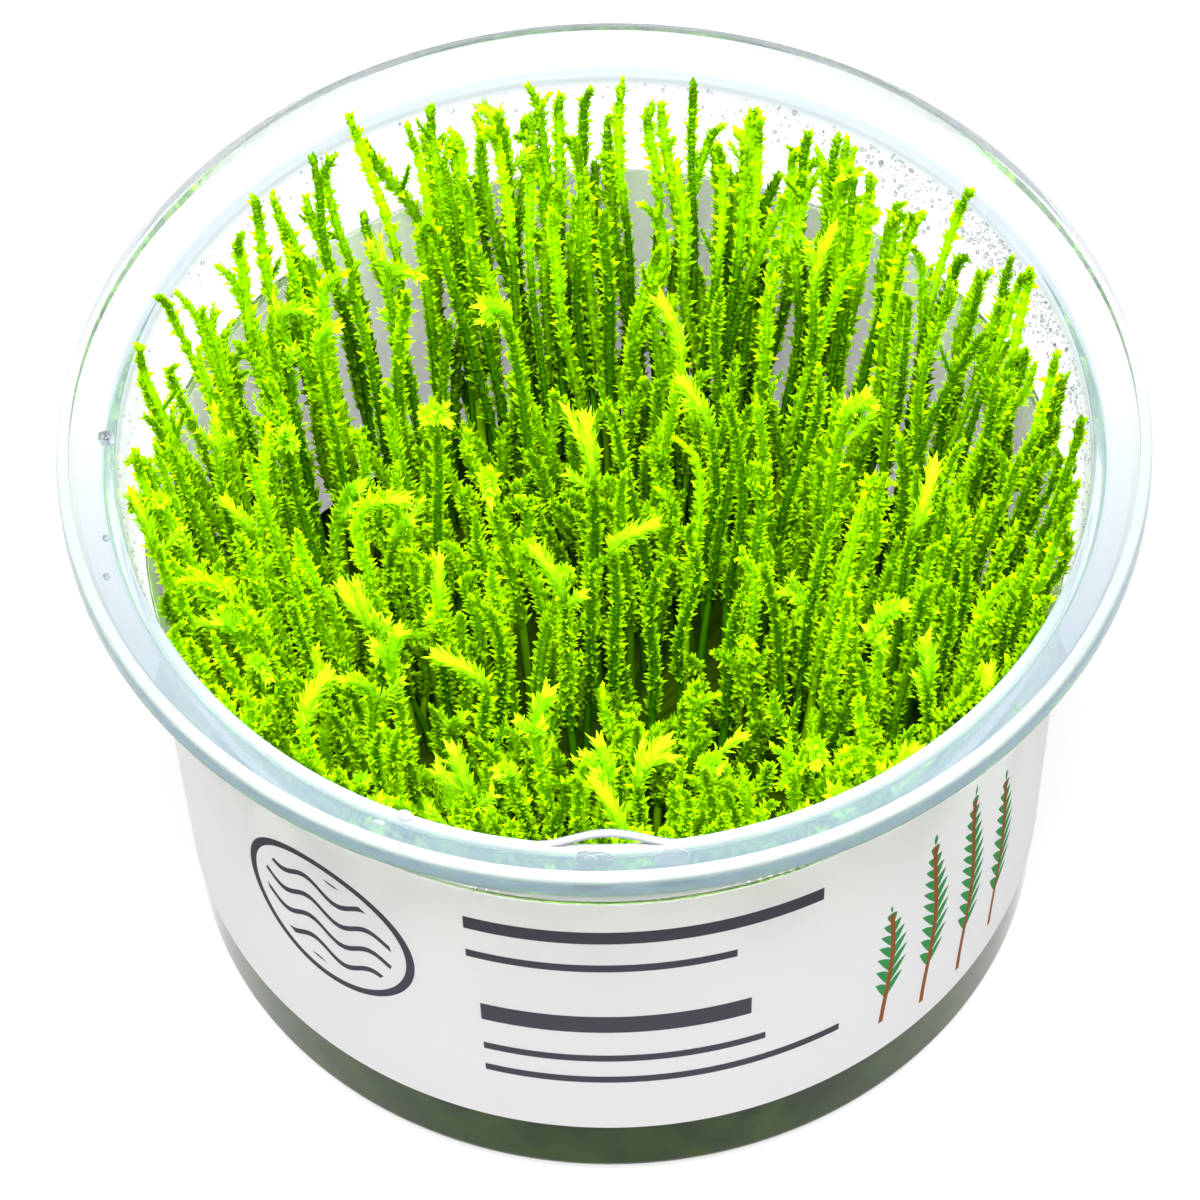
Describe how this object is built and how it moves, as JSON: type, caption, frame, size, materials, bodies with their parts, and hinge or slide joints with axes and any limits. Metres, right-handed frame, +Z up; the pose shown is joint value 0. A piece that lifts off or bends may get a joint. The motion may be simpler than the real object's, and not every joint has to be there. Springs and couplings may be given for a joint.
{
  "type": "cup of tissue culture moss",
  "caption": "Clear tapered plastic cup with a broad rim and a wrap-around label, holding nutrient gel and upright tufts of spiky green moss.",
  "frame": {"origin": "centre of the cup's underside", "axes": "+Z up along the cup's axis, -Y towards the front of the label, +X to the right seen from the front"},
  "size_m": [0.1, 0.1, 0.0648],
  "materials": {
    "clear_plastic": "clear, thin and glossy, slightly milky at the rim",
    "label": null,
    "gel": "moist, cloudy green-tinted gel",
    "moss": "moist translucent leaflets, dark green to lime"
  },
  "bodies": {
    "root": {"cup": "clear_plastic", "label": "label", "gel": "gel", "moss_tuft_01": "moss", "moss_tuft_02": "moss", "moss_tuft_03": "moss", "moss_tuft_04": "moss", "moss_tuft_05": "moss", "moss_tuft_06": "moss", "moss_tuft_07": "moss", "moss_tuft_08": "moss", "moss_tuft_09": "moss", "moss_tuft_10": "moss", "moss_tuft_11": "moss", "moss_tuft_12": "moss", "moss_tuft_13": "moss", "moss_tuft_14": "moss", "moss_tuft_15": "moss", "moss_tuft_16": "moss", "moss_tuft_17": "moss", "moss_tuft_18": "moss", "moss_tuft_19": "moss"}
  },
  "joints": []
}
